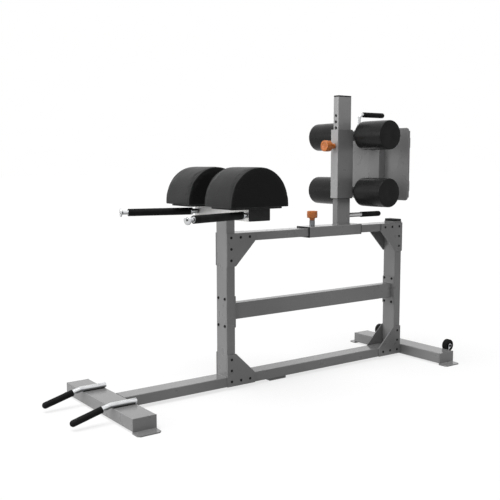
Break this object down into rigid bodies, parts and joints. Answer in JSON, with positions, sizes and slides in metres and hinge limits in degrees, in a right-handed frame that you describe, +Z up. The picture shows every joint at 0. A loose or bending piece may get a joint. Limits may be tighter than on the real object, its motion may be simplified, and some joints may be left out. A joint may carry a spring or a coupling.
{
  "type": "hyperextension bench",
  "caption": "Free-standing glute and back extension bench: steel frame with split hip pads, ankle rollers and foot plate on a sliding mast.",
  "frame": {"origin": "on the floor, under the middle of the whole bench's box", "axes": "+X from the hip pads to the foot plate, +Y to the bench's far side, +Z up"},
  "size_m": [2.2695, 0.7726, 1.467],
  "materials": {
    "frame_paint": "grey powder coat, fine texture, semi-gloss",
    "black_plastic": "black moulded plastic, fine grain",
    "black_rubber": "black rubber, matt",
    "chrome": "bright chrome plate",
    "zinc_plate": "clear zinc plate, satin",
    "dark_steel": "black oxide steel",
    "orange_plastic": "orange moulded plastic, glossy",
    "vinyl": "black upholstery vinyl with a fine leather grain",
    "foam": "black closed-cell foam, matt",
    "liner_plastic": "dark low-friction plastic"
  },
  "bodies": {
    "root": {"base_beam": "frame_paint", "front_cross_foot": "frame_paint", "rear_cross_foot": "frame_paint", "front_foot_end_near": "frame_paint", "front_foot_end_far": "frame_paint", "rear_foot_end_near": "frame_paint", "rear_foot_end_far": "frame_paint", "front_post": "frame_paint", "rear_post": "frame_paint", "top_beam": "frame_paint", "mid_beam": "frame_paint", "front_upper_gusset_near": "frame_paint", "front_upper_gusset_far": "frame_paint", "front_lower_gusset_near": "frame_paint", "front_lower_gusset_far": "frame_paint", "rear_upper_gusset_near": "frame_paint", "rear_upper_gusset_far": "frame_paint", "rear_lower_gusset_near": "frame_paint", "rear_lower_gusset_far": "frame_paint", "pad_cross_tube": "zinc_plate", "wheel_bracket_near": "zinc_plate", "wheel_bracket_far": "zinc_plate", "rear_post_cap": "black_plastic", "pad_tube_cap_near": "black_plastic", "pad_tube_cap_far": "black_plastic", "pad_board_near": "black_plastic", "pad_board_far": "black_plastic", "hip_pad_near": "vinyl", "hip_pad_far": "vinyl", "front_handle_bar_near": "chrome", "front_handle_bar_far": "chrome", "front_handle_grip_near": "black_rubber", "front_handle_grip_far": "black_rubber", "floor_handle_bar_near": "chrome", "floor_handle_bar_far": "chrome", "floor_handle_grip_near": "black_rubber", "floor_handle_grip_far": "black_rubber"},
    "wheel_near": {"transport_wheel_near": "black_rubber"},
    "wheel_far": {"transport_wheel_far": "black_rubber"},
    "slider": {"slider_sleeve": "frame_paint", "slider_liner": "liner_plastic", "mast": "frame_paint", "mast_cap": "black_plastic", "slide_handle_bar": "chrome", "slide_handle_grip": "black_rubber"},
    "slide_pin": {"slide_pin": "orange_plastic"},
    "carriage": {"mast_sleeve": "frame_paint", "mast_sleeve_liner": "liner_plastic", "upper_roller_axle": "dark_steel", "lower_roller_axle": "dark_steel", "foot_plate_frame": "frame_paint", "foot_plate_near": "frame_paint", "foot_plate_far": "frame_paint", "lift_handle_bar": "chrome", "lift_handle_grip": "black_rubber"},
    "lift_pin": {"lift_pin": "orange_plastic"},
    "upper_roller_near": {"upper_roller_near": "foam"},
    "upper_roller_far": {"upper_roller_far": "foam"},
    "lower_roller_near": {"lower_roller_near": "foam"},
    "lower_roller_far": {"lower_roller_far": "foam"}
  },
  "joints": [
    {"name": "slide_along_beam", "type": "slide", "parent": "root", "child": "slider", "axis": [1, 0, 0], "range_m": [-0.3, 0.15]},
    {"name": "lift_on_mast", "type": "slide", "parent": "slider", "child": "carriage", "axis": [0, 0, 1], "range_m": [-0.032, 0.16]},
    {"name": "slide_pin_pull", "type": "slide", "parent": "slider", "child": "slide_pin", "axis": [0, 0, 1], "range_m": [0, 0.012], "stiffness_N_per_m": 1200, "springref_m": -0.008},
    {"name": "lift_pin_pull", "type": "slide", "parent": "carriage", "child": "lift_pin", "axis": [-1, 0, 0], "range_m": [0, 0.012], "stiffness_N_per_m": 1200, "springref_m": -0.008},
    {"name": "upper_roller_near_spin", "type": "hinge", "parent": "carriage", "child": "upper_roller_near", "pos_m": [0.59329, 0, 1.2546], "axis": [0, 1, 0], "continuous": true},
    {"name": "upper_roller_far_spin", "type": "hinge", "parent": "carriage", "child": "upper_roller_far", "pos_m": [0.59329, 0, 1.2546], "axis": [0, 1, 0], "continuous": true},
    {"name": "lower_roller_near_spin", "type": "hinge", "parent": "carriage", "child": "lower_roller_near", "pos_m": [0.59329, 0, 0.957], "axis": [0, 1, 0], "continuous": true},
    {"name": "lower_roller_far_spin", "type": "hinge", "parent": "carriage", "child": "lower_roller_far", "pos_m": [0.59329, 0, 0.957], "axis": [0, 1, 0], "continuous": true},
    {"name": "wheel_near_spin", "type": "hinge", "parent": "root", "child": "wheel_near", "pos_m": [1.10029, -0.2665, 0.0795], "axis": [0, 1, 0], "continuous": true},
    {"name": "wheel_far_spin", "type": "hinge", "parent": "root", "child": "wheel_far", "pos_m": [1.10029, 0.2665, 0.0795], "axis": [0, 1, 0], "continuous": true}
  ]
}
